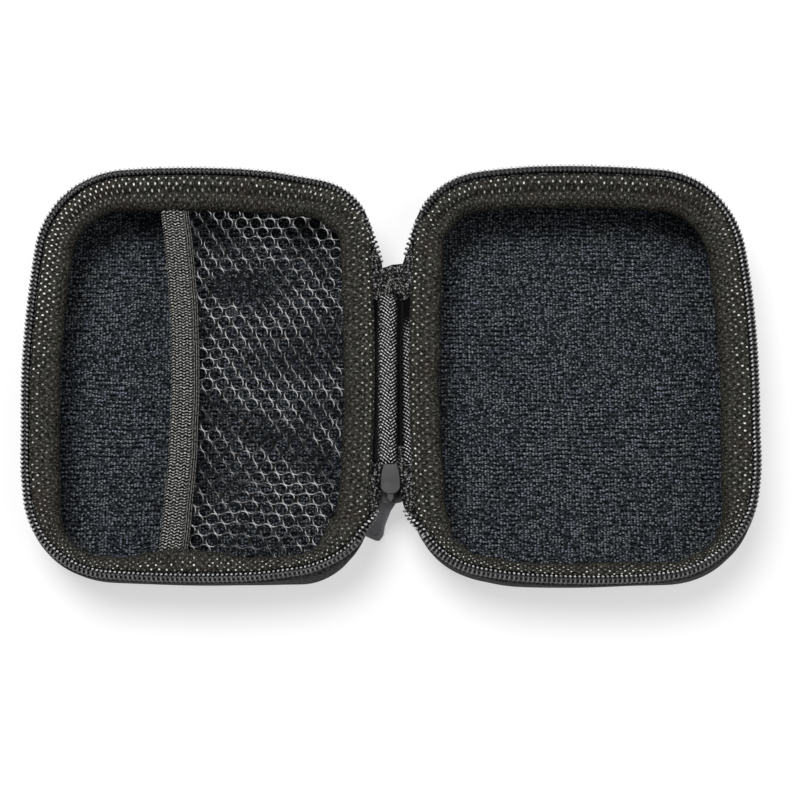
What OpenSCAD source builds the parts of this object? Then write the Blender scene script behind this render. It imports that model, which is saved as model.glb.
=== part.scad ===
// Small zip-up hard case, lying open with both halves flat on their backs.
// The base half is at +X, the lid half with its net pocket at -X, and the fabric spine is between them.
// The origin is on the surface that the case lies on, midway between the halves. The fold runs along Y.

/* [Case] */
// Width of one half, from the hinge side to the opening side
half_w = 98.5; // [92:0.5:115]
// Length of the case along the hinge
case_len = 119.5; // [114:0.5:135]
// Depth of one half, from its flat bottom to the plane where the halves meet
half_depth = 23; // [22:0.5:32]
// Radius of the two corners at the opening side, on the outermost line
corner_r = 26; // [23:0.5:30]
// Radius of the two corners at the hinge
hinge_corner_r = 21.5; // [20:0.5:27]
// Bow radius of the opening side
side_bow_r = 335; // [280:5:500]
// Bow radius of the hinge side
hinge_bow_r = 450; // [380:10:600]
// Bow radius of the two ends
end_bow_r = 290; // [220:10:420]

/* [Shell] */
// Thickness of the moulded foam with its outer fabric
shell_t = 3.1; // [2.6:0.1:3.6]
// Thickness of the knitted lining
lining_t = 0.4; // [0.3:0.1:0.6]
// Draft of the side walls, in degrees
wall_draft = 5; // [2:0.5:8]
// Outside radius between the bottom and the walls
bottom_r = 9; // [7:0.5:11]
// How far the shell's top edge stands back from the outermost line
shell_setback = 0.3; // [0.2:0.1:0.8]

/* [Binding] */
// Width of the rolled binding, seen from above
binding_w = 7.4; // [6:0.2:8.4]
// Height of the rolled binding
binding_h = 9.2; // [8:0.2:10.4]
// How far the binding moves towards the fold along the hinge, where no zipper lies beside it
binding_tuck = 2; // [1.6:0.1:2.4]

/* [Zipper] */
// Pitch of the coil
tooth_pitch = 1.27; // [1.2:0.01:1.6]
// Thickness of one tooth along the chain
tooth_t = 0.5; // [0.4:0.02:0.54]
// Thickness of the coil, square to the tape
coil_t = 2.3; // [2:0.1:2.6]
// Width of the coil's back, below the teeth
coil_back = 1.9; // [1.6:0.1:2.1]
// How far the teeth reach past the closing plane
tooth_reach = 0.7; // [0.5:0.05:0.8]
// How far the coil's back stands clear of the closing plane
coil_gap = 1; // [0.9:0.05:1.2]
// Thickness of the zipper tape
tape_t = 0.6; // [0.4:0.1:0.8]
// Depth of the tape below the closing plane, where it is sewn in
tape_drop = 8.6; // [7.6:0.2:9]
// Corner angle where the chain leaves the rim beside the slider
leave_slider = 28; // [24:1:34]
// Corner angle where the chain leaves the rim at its sewn end
leave_tab = 20; // [16:1:26]

/* [Hinge] */
// Gap between the two halves when the case lies open
hinge_gap = 8; // [7.6:0.2:10]
// Length of the webbing along the hinge
webbing_len = 47.8; // [42:0.2:52]
// Distance of the webbing's middle from the case's middle, towards the slider
webbing_shift = 1.7; // [0:0.1:2.4]
// Thickness of the webbing
webbing_t = 0.9; // [0.7:0.1:1]
// Thickness of the fabric behind the webbing
backing_t = 0.6; // [0.4:0.1:0.8]
// Length of the sewn tab past the webbing
tab_len = 9; // [7.5:0.5:10]
// Width of the sewn tab at its free end
tab_tip_w = 4.5; // [4:0.5:6]
// Length of the closed chain between the webbing and the slider
joined_len = 9.5; // [8:0.5:12]

/* [Slider] */
// Length of the slider
slider_len = 10.2; // [9.4:0.2:10.8]
// Width of the slider at its shoulders
slider_w = 8.8; // [8.4:0.2:9.6]
// Width of the slider's inner plate
inner_plate_w = 5.2; // [4.8:0.2:6.6]
// Thickness of each slider plate
plate_t = 1.05; // [0.8:0.05:1.2]
// Thickness of the slider's side flanges
flange_t = 0.8; // [0.6:0.1:1]
// Width of the post between the two chains
post_w = 1.6; // [1.2:0.1:2]
// Length of the bail that holds the pull
bail_len = 6.4; // [5.6:0.2:7]
// Width of the bail
bail_w = 2; // [1.6:0.1:2.2]
// Inside height of the bail
bail_open = 1.8; // [1.7:0.1:2]
// Thickness of the bail's arch
bail_t = 0.8; // [0.6:0.1:1]

/* [Pull] */
// Length of the pull, from its bar to its tip
pull_len = 17.5; // [15:0.5:20]
// Width of the pull
pull_w = 5.6; // [5.2:0.2:6.4]
// Thickness of the pull
pull_t = 1.2; // [1.1:0.1:1.3]
// Diameter of the pull's bar
bar_d = 1; // [0.8:0.1:1]
// Sideways turn of the pull, in degrees
pull_turn = 24; // [0:1:26]

/* [Pocket] */
// Distance of the elastic's ends from the lid's middle, away from the hinge
elastic_x = 7.4; // [0:0.2:10]
// Width of the elastic
elastic_w = 8; // [7:0.5:10]
// Thickness of the folded elastic
elastic_t = 1.5; // [1.2:0.1:2]
// How far the net pulls the middle of the elastic towards the hinge
elastic_bow = 3.2; // [0:0.2:4]
// Depth of the net below the closing plane
net_drop = 5.2; // [4.6:0.2:6.4]
// Thickness of the net
net_t = 0.4; // [0.3:0.05:0.6]
// Distance between the net's gaps along a row
net_pitch = 4.2; // [4.2:0.1:5.2]
// Distance between the net's rows
net_row = 2.95; // [2.9:0.05:3.6]
// Width of the thread between the net's gaps
net_thread = 0.6; // [0.5:0.05:0.9]

/* [Hidden] */

// Clearance between layers that are glued or sewn together
glue = 0.05;
// Clearance between pieces that move on each other
play = 0.2;
// Clearance at a fold line, on each side
fold_clear = 0.15;
// Segments of a corner, of a bowed side, and of the radius at the bottom
corner_steps = 8;
side_steps = 8;
fillet_steps = 4;
$fn = 32;

half_x = half_w / 2;
half_y = case_len / 2;
half_centre = hinge_gap / 2 + half_x;
fold_z = half_depth - hinge_gap / 2;
webbing_z = fold_z - glue - webbing_t;
shell_top = webbing_z - glue;
laminate_t = shell_t + lining_t;

coil_out = 0.2;
coil_in = coil_out + coil_t;
coil_mid = coil_out + coil_t / 2;
back_top = half_depth - coil_gap;
back_low = back_top - coil_back;
back_mid = back_top - coil_back / 2;
tooth_h = tooth_reach + coil_gap;
tooth_root = 0.3;
tape_top = half_depth - 0.5;
tape_low = half_depth - tape_drop;

// Plan of one half. A corner's centre is where it touches both bowed sides from inside.
bow_end = [0, half_y - end_bow_r];
function circle_meet(p, r, q, s) =
    let (d = norm(q - p), e = (q - p) / d, a = (r * r - s * s + d * d) / (2 * d), h = sqrt(r * r - a * a))
    p + a * e + h * [-e[1], e[0]];
function corner(bow_r, r) =
    let (bow = [half_x - bow_r, 0], c = circle_meet(bow, bow_r - r, bow_end, end_bow_r - r))
    [c, atan2(c[1], c[0] - bow[0]), atan2(c[1] - bow_end[1], c[0])];

// Each side's corner as [centre, angle at its bowed side, angle at the end], both drawn at +X and +Y
far = corner(side_bow_r, corner_r);
near = corner(hinge_bow_r, hinge_corner_r);
hinge_bow = [hinge_bow_r - half_x, 0];

// The outline's arcs against the clock from the opening side: [centre, radius, first angle, last angle, steps]
outline = [
    [[half_x - side_bow_r, 0], side_bow_r, -far[1], far[1], side_steps],
    [far[0], corner_r, far[1], far[2], corner_steps],
    [bow_end, end_bow_r, far[2], 180 - near[2], side_steps],
    [[-near[0][0], near[0][1]], hinge_corner_r, 180 - near[2], 180 - near[1], corner_steps],
    [hinge_bow, hinge_bow_r, 180 - near[1], 180 + near[1], side_steps],
    [-near[0], hinge_corner_r, 180 + near[1], 180 + near[2], corner_steps],
    [-bow_end, end_bow_r, 180 + near[2], 360 - far[2], side_steps],
    [[far[0][0], -far[0][1]], corner_r, 360 - far[2], 360 - far[1], corner_steps]
];

// A station is [arc centre, arc radius, angle]. An inset moves it towards the middle of the half.
function at_station(st, inset) = st[0] + (st[1] - inset) * [cos(st[2]), sin(st[2])];
function arc_stations(arc) =
    [for (i = [0 : arc[4] - 1]) [arc[0], arc[1], arc[2] + (arc[3] - arc[2]) * i / arc[4]]];
rim = [for (arc = outline) each arc_stations(arc)];

// How far a point lies inside the outline
function depth_in(p) =
    let (
        at_hinge = p[0] < 0,
        k = at_hinge ? near : far,
        r = at_hinge ? hinge_corner_r : corner_r,
        bow_r = at_hinge ? hinge_bow_r : side_bow_r,
        q = [abs(p[0]), abs(p[1])],
        c = q - k[0],
        a = atan2(c[1], c[0])
    )
    a > k[1] && a < k[2]
        ? r - norm(c)
        : min(bow_r - norm(q - [half_x - bow_r, 0]), end_bow_r - norm(q - bow_end));

// Solids from rings of points. Rings of equal length are joined in order into one closed solid.
function reversed(list) = [for (i = [len(list) - 1 : -1 : 0]) list[i]];
function quad(a, b, c, d) = [[a, b, c], [a, c, d]];
function walls(n, m, joined) =
    [for (i = [0 : m - (joined ? 1 : 2)], j = [0 : n - 1])
        let (k = (j + 1) % n, a = i * n, b = (i + 1) % m * n)
        each quad(a + j, a + k, b + k, b + j)];

// Rings that are convex, level outlines, from the top inside down to the bottom outside
module lofted(rings) {
    n = len(rings[0]);
    last = (len(rings) - 1) * n;
    polyhedron([for (ring = rings) each ring], concat(
        walls(n, len(rings), false),
        [for (j = [1 : n - 2]) [0, j + 1, j]],
        [for (j = [1 : n - 2]) [last, last + j, last + j + 1]]));
}

// Rings that run out along one face of a strip and back along the other
module strip(rings) {
    n = len(rings[0]);
    last = (len(rings) - 1) * n;
    polyhedron([for (ring = rings) each ring], concat(
        walls(n, len(rings), false),
        [for (j = [0 : n / 2 - 2]) each quad(j, n - 1 - j, n - 2 - j, j + 1)],
        [for (j = [0 : n / 2 - 2]) each quad(last + j, last + j + 1, last + n - 2 - j, last + n - 1 - j)]));
}

// Rings that go all the way round and meet themselves
module hoop(rings) {
    polyhedron([for (ring = rings) each ring], walls(len(rings[0]), len(rings), true));
}

// A profile is a list of [inset, height]
function ring_at(st, profile) = [for (p = profile) let (q = at_station(st, p[0])) [q[0], q[1], p[1]]];

module raised(z0, z1) {
    translate([0, 0, z0]) linear_extrude(z1 - z0) children();
}

// Moulded shell and lining. Insets are of the surface at depth t inside the outer face.
function wall_inset(t, z) = shell_setback + t / cos(wall_draft) + (shell_top - z) * tan(wall_draft);
fillet_inset = wall_inset(0, bottom_r) + bottom_r / cos(wall_draft);

// From the top edge down the wall and round onto the bottom
function wall_profile(t) = concat(
    [[wall_inset(t, shell_top), shell_top]],
    [for (i = [0 : fillet_steps])
        let (a = 180 + wall_draft + (90 - wall_draft) * i / fillet_steps)
        [fillet_inset + (bottom_r - t) * cos(a), bottom_r + (bottom_r - t) * sin(a)]]);

module tray(outer_depth, inner_depth) {
    profile = concat(reversed(wall_profile(inner_depth)), wall_profile(outer_depth));
    lofted([for (p = profile) [for (st = rim) let (q = at_station(st, p[0])) [q[0], q[1], p[1]]]]);
}

module shell() {
    color([0.16, 0.16, 0.17]) tray(0, shell_t);
}

module lining() {
    color([0.07, 0.08, 0.13]) tray(shell_t + glue, laminate_t);
}

// Rolled binding over the sewn edges of the tape and the hem
function sewn_inset(z) = wall_inset(laminate_t, z) + glue;
layer_t = max(tape_t, webbing_t);
binding_top = half_depth - 0.1;
binding_back = coil_in + tape_t + 2 * glue;
binding_in = binding_back + binding_w;

// Along the hinge the binding moves towards the fold and widens, once the zipper has left the rim
tuck_start = 4;
tuck_run = 10;
tuck_widening = 0.4;
function ease(t) = let (k = min(1, max(0, t))) k * k * (3 - 2 * k);
function leave_y(angle) = near[0][1] + hinge_corner_r * sin(angle) - tuck_start;
function tuck(st) =
    let (p = at_station(st, 0))
    p[0] > 0 ? 0 : binding_tuck * ease((leave_y(p[1] > 0 ? leave_tab : leave_slider) - abs(p[1])) / tuck_run);

function rounded(v) = sign(v) * pow(abs(v), 0.8);
function binding_profile(shift) =
    let (
        w = binding_w + shift * tuck_widening,
        mid = [binding_back - shift + w / 2, binding_top - binding_h / 2],
        low = mid[1] - binding_h / 2
    )
    concat(
        [for (a = [150 : -30 : -90]) mid + [w * rounded(cos(a)), binding_h * rounded(sin(a))] / 2],
        [
            [sewn_inset(low) + layer_t + glue, low],
            [sewn_inset(shell_top) + layer_t + glue, fold_z + 2 * glue],
            [binding_back - shift, back_low + 2 * glue]
        ]);

module binding() {
    color([0.21, 0.21, 0.19]) hoop([for (st = rim) ring_at(st, binding_profile(tuck(st)))]);
}

// The chain runs with the clock, from the sewn tab past the opening side to the slider
chain_arcs = [
    [outline[3][0], hinge_corner_r, 180 - leave_tab, outline[3][2], corner_steps],
    [outline[2][0], end_bow_r, outline[2][3], outline[2][2], side_steps],
    [outline[1][0], corner_r, outline[1][3], outline[1][2], corner_steps],
    [outline[0][0], side_bow_r, outline[0][3], outline[0][2], side_steps],
    [outline[7][0], corner_r, -far[1], -far[2], corner_steps],
    [outline[6][0], end_bow_r, -far[2], near[2] - 180, side_steps],
    [outline[5][0], hinge_corner_r, near[2] - 180, leave_slider - 180, corner_steps]
];
tab_station = [chain_arcs[0][0], hinge_corner_r, 180 - leave_tab];
slider_station = [chain_arcs[6][0], hinge_corner_r, leave_slider - 180];
chain_stations = concat([for (arc = chain_arcs) each arc_stations(arc)], [slider_station]);

arc_lens = [for (arc = chain_arcs) (arc[1] - coil_mid) * abs(arc[3] - arc[2]) * PI / 180];
function total(list, n) = n == 0 ? 0 : list[n - 1] + total(list, n - 1);
chain_len = total(arc_lens, len(arc_lens));

// The station at length s along the coil, from the sewn tab
function chain_at(s, i = 0) =
    i < len(arc_lens) - 1 && s > arc_lens[i]
        ? chain_at(s - arc_lens[i], i + 1)
        : [chain_arcs[i][0], chain_arcs[i][1], chain_arcs[i][2] - s / (chain_arcs[i][1] - coil_mid) * 180 / PI];

tape_face = [
    [coil_in + glue, tape_top],
    [coil_in + glue, back_low - glue],
    [sewn_inset(shell_top), shell_top + fold_clear],
    [sewn_inset(tape_low), tape_low]
];

module zipper_tape() {
    inside = [for (p = reversed(tape_face)) p + [tape_t, 0]];
    color([0.12, 0.12, 0.13]) strip([for (st = chain_stations) ring_at(st, concat(tape_face, inside))]);
}

// One turn of the coil, standing on z = 0 with the chain along Y
module tooth() {
    w = coil_t / 2 - 0.1;
    rotate([90, 0, 0]) linear_extrude(tooth_t, center = true) polygon([
        [-w, -tooth_root], [w, -tooth_root], [w, tooth_h * 0.6],
        [w * 0.55, tooth_h], [-w * 0.55, tooth_h], [-w, tooth_h * 0.6]
    ]);
}

// A phase is a first tooth's place, in pitches. The two chains' teeth stand half a pitch apart.
base_phase = 0.75;
lid_phase = 0.25;

// Phase of the first tooth past a joint, where the teeth before it stand at phase + whole pitches from the start
function next_phase(phase, len) =
    let (k = phase - len / tooth_pitch, f = k - floor(k)) f < tooth_t / tooth_pitch / 2 ? f + 1 : f;

module zipper_coil(phase) {
    color([0.1, 0.1, 0.11]) {
        raised(back_low, back_top) polygon(concat(
            [for (st = chain_stations) at_station(st, coil_out)],
            [for (st = reversed(chain_stations)) at_station(st, coil_in)]));
        for (i = [0 : floor(chain_len / tooth_pitch - phase - tooth_t / tooth_pitch)]) {
            st = chain_at((i + phase) * tooth_pitch);
            p = at_station(st, coil_mid);
            translate([p[0], p[1], back_top]) rotate([0, 0, st[2]]) tooth();
        }
    }
}

// The chain's free ends leave the rim, sink to the spine's level and roll until their teeth face each other
end_steps = 8;
end_tape_low = 1.6;
end_clear = 0.4;
joined_z = webbing_z - 2 * glue - tape_t - coil_t / 2;
webbing_front = -(webbing_len / 2 + webbing_shift);
webbing_back = webbing_len / 2 - webbing_shift;
slider_tail = webbing_front - end_clear;
tab_end = webbing_back + glue + tab_len;
slider_mouth = [coil_gap + coil_back / 2 + post_w / 2, slider_tail - slider_len - end_clear, joined_z];
tab_mouth = [tab_tip_w / 2, tab_end + coil_back / 2 + end_clear, joined_z + 1];

// Way is 1 at the slider's end and -1 at the tab's. Returns [place, heading, tape side, tooth side].
function free_frame(st, target, way, t) =
    let (
        p = at_station(st, coil_mid),
        q = [target[0] - half_centre, target[1]],
        reach = norm(q - p),
        h0 = way * [sin(st[2]), -cos(st[2])],
        h1 = [-0.25, way] / norm([-0.25, way]),
        place = (2 * t * t * t - 3 * t * t + 1) * p + (t * t * t - 2 * t * t + t) * reach * h0
            + (3 * t * t - 2 * t * t * t) * q + (t * t * t - t * t) * reach * h1,
        slope = (6 * t * t - 6 * t) * (p - q) + (3 * t * t - 4 * t + 1) * reach * h0
            + (3 * t * t - 2 * t) * reach * h1,
        h = slope / norm(slope),
        out = way * [-h[1], h[0]],
        roll = 90 * ease(t)
    )
    [
        [place[0], place[1], back_mid + (target[2] - back_mid) * ease(t)],
        [h[0], h[1], 0],
        [-cos(roll) * out[0], -cos(roll) * out[1], sin(roll)],
        [sin(roll) * out[0], sin(roll) * out[1], cos(roll)]
    ];

module chain_end(st, target, way, phase) {
    span = norm([target[0] - half_centre, target[1]] - at_station(st, coil_mid));
    first = fold_clear / span;
    w = coil_t / 2;
    h = coil_back / 2;
    section = [
        [-w, -h], [w, -h], [w + glue, -end_tape_low], [w + tape_t, -end_tape_low],
        [w + tape_t, h + coil_gap / 2], [w + glue, h + coil_gap / 2], [w, h], [-w, h]
    ];
    ring = way > 0 ? section : reversed(section);
    color([0.1, 0.1, 0.11]) {
        strip([for (i = [0 : end_steps])
            let (f = free_frame(st, target, way, first + (1 - first) * i / end_steps))
            [for (q = ring) f[0] + q[0] * f[2] + q[1] * f[3]]]);
        for (i = [0 : floor(span / tooth_pitch - phase - 0.4)]) {
            f = free_frame(st, target, way, (i + phase) * tooth_pitch / span);
            q = f[0] + h * f[3];
            multmatrix([
                [f[2][0], f[1][0], f[3][0], q[0]],
                [f[2][1], f[1][1], f[3][1], q[1]],
                [f[2][2], f[1][2], f[3][2], q[2]]
            ]) tooth();
        }
    }
}

module slider_end(phase) {
    chain_end(slider_station, slider_mouth, 1, next_phase(phase, chain_len));
}

module tab_end_of_chain(phase) {
    chain_end(tab_station, tab_mouth, -1, next_phase(1 - phase, 0));
}

// Hem of the webbing, folded over the shell's edge and sewn in under the binding
module hinge_hem() {
    color([0.15, 0.15, 0.16]) strip([for (i = [0 : side_steps])
        let (
            y = webbing_back + (webbing_front - webbing_back) * i / side_steps,
            st = [hinge_bow, hinge_bow_r, 180 - asin(y / hinge_bow_r)],
            fold = fold_clear - (hinge_bow_r - sqrt(hinge_bow_r * hinge_bow_r - y * y)),
            face = [[fold, fold_z - glue], [sewn_inset(shell_top) + webbing_t, fold_z - glue],
                [sewn_inset(tape_low) + webbing_t, tape_low]],
            back = [[sewn_inset(tape_low), tape_low], [sewn_inset(shell_top), webbing_z], [fold, webbing_z]]
        )
        ring_at(st, concat(face, back))]);
}

// Elastic and net of the lid's pocket, in plan
elastic_steps = 12;
net_top = half_depth - net_drop;
pocket_edge = binding_in + glue;
pocket_border = 1.6;
function elastic_mid(y) = elastic_x - elastic_bow * (1 - pow(y / (half_y - pocket_edge), 2));
function elastic_line(side) =
    [for (i = [-elastic_steps : elastic_steps])
        let (y = i / elastic_steps * half_y) [elastic_mid(y) + side * elastic_w / 2, y]];

module pocket_outline() {
    polygon([for (st = rim) at_station(st, pocket_edge)]);
}

module elastic() {
    color([0.17, 0.17, 0.18]) intersection() {
        raised(net_top + glue, net_top + glue + elastic_t) pocket_outline();
        raised(net_top - 1, net_top + elastic_t + 1)
            polygon(concat(elastic_line(1), reversed(elastic_line(-1))));
    }
}

module net_gap() {
    k = 1 - net_thread / net_pitch;
    raised(net_top - net_t - 1, net_top + 1) polygon(k * [
        [0, net_row * 2 / 3], [net_pitch / 2, net_row / 3], [net_pitch / 2, -net_row / 3],
        [0, -net_row * 2 / 3], [-net_pitch / 2, -net_row / 3], [-net_pitch / 2, net_row / 3]
    ]);
}

net_columns = ceil(half_x / net_pitch);
net_rows = floor(half_y / net_row);
net_gaps = [for (j = [-net_rows : net_rows], i = [-net_columns : net_columns])
    let (p = [(i + abs(j % 2) / 2) * net_pitch, j * net_row])
    if (depth_in(p) > pocket_edge + pocket_border + net_row / 2
        && p[0] < elastic_mid(p[1]) - elastic_w / 2 - net_pitch / 2) p];

module net() {
    color([0.4, 0.4, 0.42]) difference() {
        intersection() {
            raised(net_top - net_t, net_top) pocket_outline();
            raised(net_top - net_t - 1, net_top + 1) polygon(concat(
                [for (p = elastic_line(1)) p - [elastic_w / 2, 0]],
                [[-half_x, half_y], [-half_x, -half_y]]));
        }
        for (p = net_gaps) translate([p[0], p[1], 0]) net_gap();
    }
}

// Fabric spine between the fold lines
spine_w = hinge_gap / 2 - fold_clear;

module hinge_webbing() {
    color([0.2, 0.2, 0.22]) translate([-spine_w, webbing_front, webbing_z])
        cube([2 * spine_w, webbing_len, webbing_t]);
}

module hinge_backing() {
    rear = webbing_front + joined_len - slider_rear_grip + glue;
    color([0.14, 0.14, 0.15]) translate([-spine_w, rear, webbing_z - glue - backing_t])
        cube([2 * spine_w, tab_end - rear, backing_t]);
}

module hinge_end_tab() {
    color([0.13, 0.13, 0.14]) raised(webbing_z, webbing_z + webbing_t) polygon([
        [-spine_w, webbing_back + glue], [spine_w, webbing_back + glue],
        [tab_tip_w / 2, tab_end], [-tab_tip_w / 2, tab_end]
    ]);
}

// Closed chain that the slider has left behind it, with its coils facing out
slider_rear_grip = 4;
joined_front = slider_tail - slider_rear_grip;
joined_back = joined_front + joined_len;

module joined_chain_side(phase) {
    rail_y = joined_len - glue;
    translate([coil_gap, joined_front, joined_z - coil_t / 2]) cube([coil_back, rail_y, coil_t]);
    for (i = [0 : floor(joined_len / tooth_pitch - 1.2)])
        translate([coil_gap, joined_front + (i + 0.4 + phase) * tooth_pitch, joined_z])
            rotate([0, -90, 0]) tooth();
}

module joined_chain_teeth() {
    color([0.1, 0.1, 0.11]) {
        joined_chain_side(0);
        mirror([1, 0, 0]) joined_chain_side(0.5);
    }
}

module joined_chain_tape() {
    mid = [(spine_w + tooth_root) / 2, (joined_front + joined_back) / 2, joined_z + coil_t / 2 + glue + tape_t / 2];
    color([0.12, 0.12, 0.13]) for (side = [-1, 1])
        translate([side * mid[0], mid[1], mid[2]])
            cube([spine_w - tooth_root, joined_len - glue, tape_t - glue], center = true);
}

// Slider, drawn with its tail at the origin and its nose at +Y
channel_half = coil_gap + coil_back + play;
channel_low = joined_z - coil_t / 2 - play;
channel_top = joined_z + coil_t / 2 + glue + tape_t + play;
tail_half = channel_half + flange_t;
shoulder_y = slider_len * 0.64;
flange_y = slider_len * 0.8;
bar_z = channel_low - plate_t - bail_open / 2;
bail_start = slider_len * 0.15;
bar_y = bail_start + bail_len - bail_t - bar_d / 2 / cos(pull_turn) - bail_w / 2 * tan(pull_turn) - fold_clear;

module at_slider() {
    translate([0, slider_tail, 0]) rotate([0, 0, 180]) children();
}

module both_sides(half) {
    polygon(concat(half, [for (p = reversed(half)) [-p[0], p[1]]]));
}

module slider_body() {
    flange_half = slider_w / 2 - flange_t;
    color([0.42, 0.42, 0.44]) at_slider() {
        raised(channel_low - plate_t, channel_low) both_sides([
            [tail_half, 0], [tail_half, slider_len * 0.34], [slider_w / 2, shoulder_y],
            [slider_w / 2, flange_y], [slider_w / 2 - 1.4, slider_len - 0.4], [post_w / 2, slider_len]
        ]);
        for (side = [-1, 1]) scale([side, 1, 1])
            raised(channel_low - plate_t / 2, joined_z + coil_t / 2 - 2 * play) polygon([
                [channel_half, 0], [tail_half, 0], [tail_half, slider_len * 0.34], [slider_w / 2, shoulder_y],
                [slider_w / 2, flange_y], [flange_half, flange_y], [flange_half, shoulder_y],
                [channel_half, slider_len * 0.34]
            ]);
        raised(channel_low - plate_t / 2, channel_top + plate_t / 2) both_sides([
            [0, slider_rear_grip + fold_clear], [post_w / 2, shoulder_y],
            [post_w / 2, slider_len - 0.8], [post_w / 4, slider_len - 0.2]
        ]);
        raised(channel_top, channel_top + plate_t) both_sides([
            [inner_plate_w * 0.33, 0], [inner_plate_w * 0.42, 1.4], [inner_plate_w / 2, slider_len * 0.42],
            [inner_plate_w / 2, slider_len * 0.64], [inner_plate_w * 0.38, slider_len * 0.74],
            [inner_plate_w * 0.17, slider_len * 0.8]
        ]);
    }
}

// Arch under the outer plate, which keeps the pull's bar
module slider_bail() {
    outer = [bail_len / 2, bail_open + bail_t];
    inner = [bail_len / 2 - bail_t, bail_open];
    bevel = bail_t;
    color([0.4, 0.4, 0.42]) at_slider()
        translate([0, bail_start + bail_len / 2, channel_low - plate_t]) rotate([90, 0, 90])
            linear_extrude(bail_w, center = true) polygon([
                [outer[0], 0], [outer[0], bevel - outer[1]], [outer[0] - bevel, -outer[1]],
                [bevel - outer[0], -outer[1]], [-outer[0], bevel - outer[1]], [-outer[0], 0],
                [-inner[0], 0], [-inner[0], bevel / 2 - inner[1]], [bevel / 2 - inner[0], -inner[1]],
                [inner[0] - bevel / 2, -inner[1]], [inner[0], bevel / 2 - inner[1]], [inner[0], 0]
            ]);
}

// The pull hangs until its tip is just above the surface that the case lies on
tip_clear = 0.5;
pull_slope = asin(min(0.96, (bar_z - pull_t / 2 - tip_clear) / pull_len));
eye_half = bail_w / 2 + 0.7;
eye_len = bail_t + bar_d / 2 + 2.2;

module pull_tab() {
    color([0.27, 0.27, 0.29]) translate([0, slider_tail - bar_y, bar_z])
        rotate([0, 0, 180 - pull_turn]) rotate([-pull_slope, 0, 0]) {
            difference() {
                raised(-pull_t / 2, pull_t / 2) both_sides([
                    [pull_w / 2, -bar_d * 0.45], [pull_w / 2, eye_len], [pull_w * 0.4, pull_len * 0.38],
                    [pull_w * 0.4, pull_len * 0.7], [pull_w / 2, pull_len * 0.88],
                    [pull_w * 0.43, pull_len * 0.97], [pull_w * 0.26, pull_len]
                ]);
                translate([-eye_half, -pull_len / 2, -pull_t]) cube([2 * eye_half, pull_len / 2 + eye_len, 2 * pull_t]);
                for (side = [-1, 1]) scale([1, 1, side])
                    raised(pull_t / 2 - 0.25, pull_t) both_sides([
                        [pull_w * 0.22, pull_len * 0.42], [pull_w * 0.22, pull_len * 0.72],
                        [pull_w * 0.28, pull_len * 0.86], [pull_w * 0.18, pull_len * 0.92]
                    ]);
            }
            rotate([0, 90, 0]) cylinder(h = 2 * eye_half + 1, d = bar_d, center = true);
        }
}

module base_place() {
    translate([half_centre, 0, 0]) children();
}

module lid_place() {
    mirror([1, 0, 0]) base_place() children();
}

base_place() shell();  // base_shell
base_place() lining();  // base_lining
base_place() binding();  // base_binding
base_place() hinge_hem();  // base_hinge_hem
base_place() zipper_tape();  // base_zipper_tape
base_place() zipper_coil(base_phase);  // base_zipper_coil
base_place() slider_end(base_phase);  // base_chain_end_at_slider
base_place() tab_end_of_chain(base_phase);  // base_chain_end_at_tab
lid_place() shell();  // lid_shell
lid_place() lining();  // lid_lining
lid_place() binding();  // lid_binding
lid_place() hinge_hem();  // lid_hinge_hem
lid_place() zipper_tape();  // lid_zipper_tape
lid_place() zipper_coil(lid_phase);  // lid_zipper_coil
lid_place() slider_end(lid_phase);  // lid_chain_end_at_slider
lid_place() tab_end_of_chain(lid_phase);  // lid_chain_end_at_tab
lid_place() net();  // pocket_net
lid_place() elastic();  // pocket_elastic
hinge_webbing();
hinge_backing();
hinge_end_tab();
joined_chain_teeth();
joined_chain_tape();
slider_body();
slider_bail();
pull_tab();
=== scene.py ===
import math
import bmesh
import bpy
import numpy as np
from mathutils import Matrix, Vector, noise


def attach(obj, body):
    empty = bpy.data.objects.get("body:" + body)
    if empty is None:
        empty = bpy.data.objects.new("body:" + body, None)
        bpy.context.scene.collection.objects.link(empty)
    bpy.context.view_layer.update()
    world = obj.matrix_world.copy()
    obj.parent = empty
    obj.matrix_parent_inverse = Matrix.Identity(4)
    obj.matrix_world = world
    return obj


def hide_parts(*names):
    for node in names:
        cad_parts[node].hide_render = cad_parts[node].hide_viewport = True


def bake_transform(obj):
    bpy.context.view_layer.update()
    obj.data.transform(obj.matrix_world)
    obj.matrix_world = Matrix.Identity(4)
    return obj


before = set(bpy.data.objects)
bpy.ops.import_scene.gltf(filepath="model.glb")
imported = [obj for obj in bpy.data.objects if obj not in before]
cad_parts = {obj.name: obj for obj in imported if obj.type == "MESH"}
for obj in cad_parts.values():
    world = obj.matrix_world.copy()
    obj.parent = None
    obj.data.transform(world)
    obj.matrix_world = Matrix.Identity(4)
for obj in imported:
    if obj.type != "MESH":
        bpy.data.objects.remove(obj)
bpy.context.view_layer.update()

# Lengths in this script are millimetres, and turn into metres where a mesh is made.
MM = 0.001
TAU = 2 * math.pi
SIDES = {1: "base", -1: "lid"}
# Spacing of the binding's dots along it
DOT_PERIOD = 2.1

# Plan of one half, with its hinge at -X
HALF_X = 49.25
HALF_Y = 59.75
HALF_CENTRE = 53.25
HINGE_R, CORNER_R = 450, 21.5
HINGE_SPAN = 4.95
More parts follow.
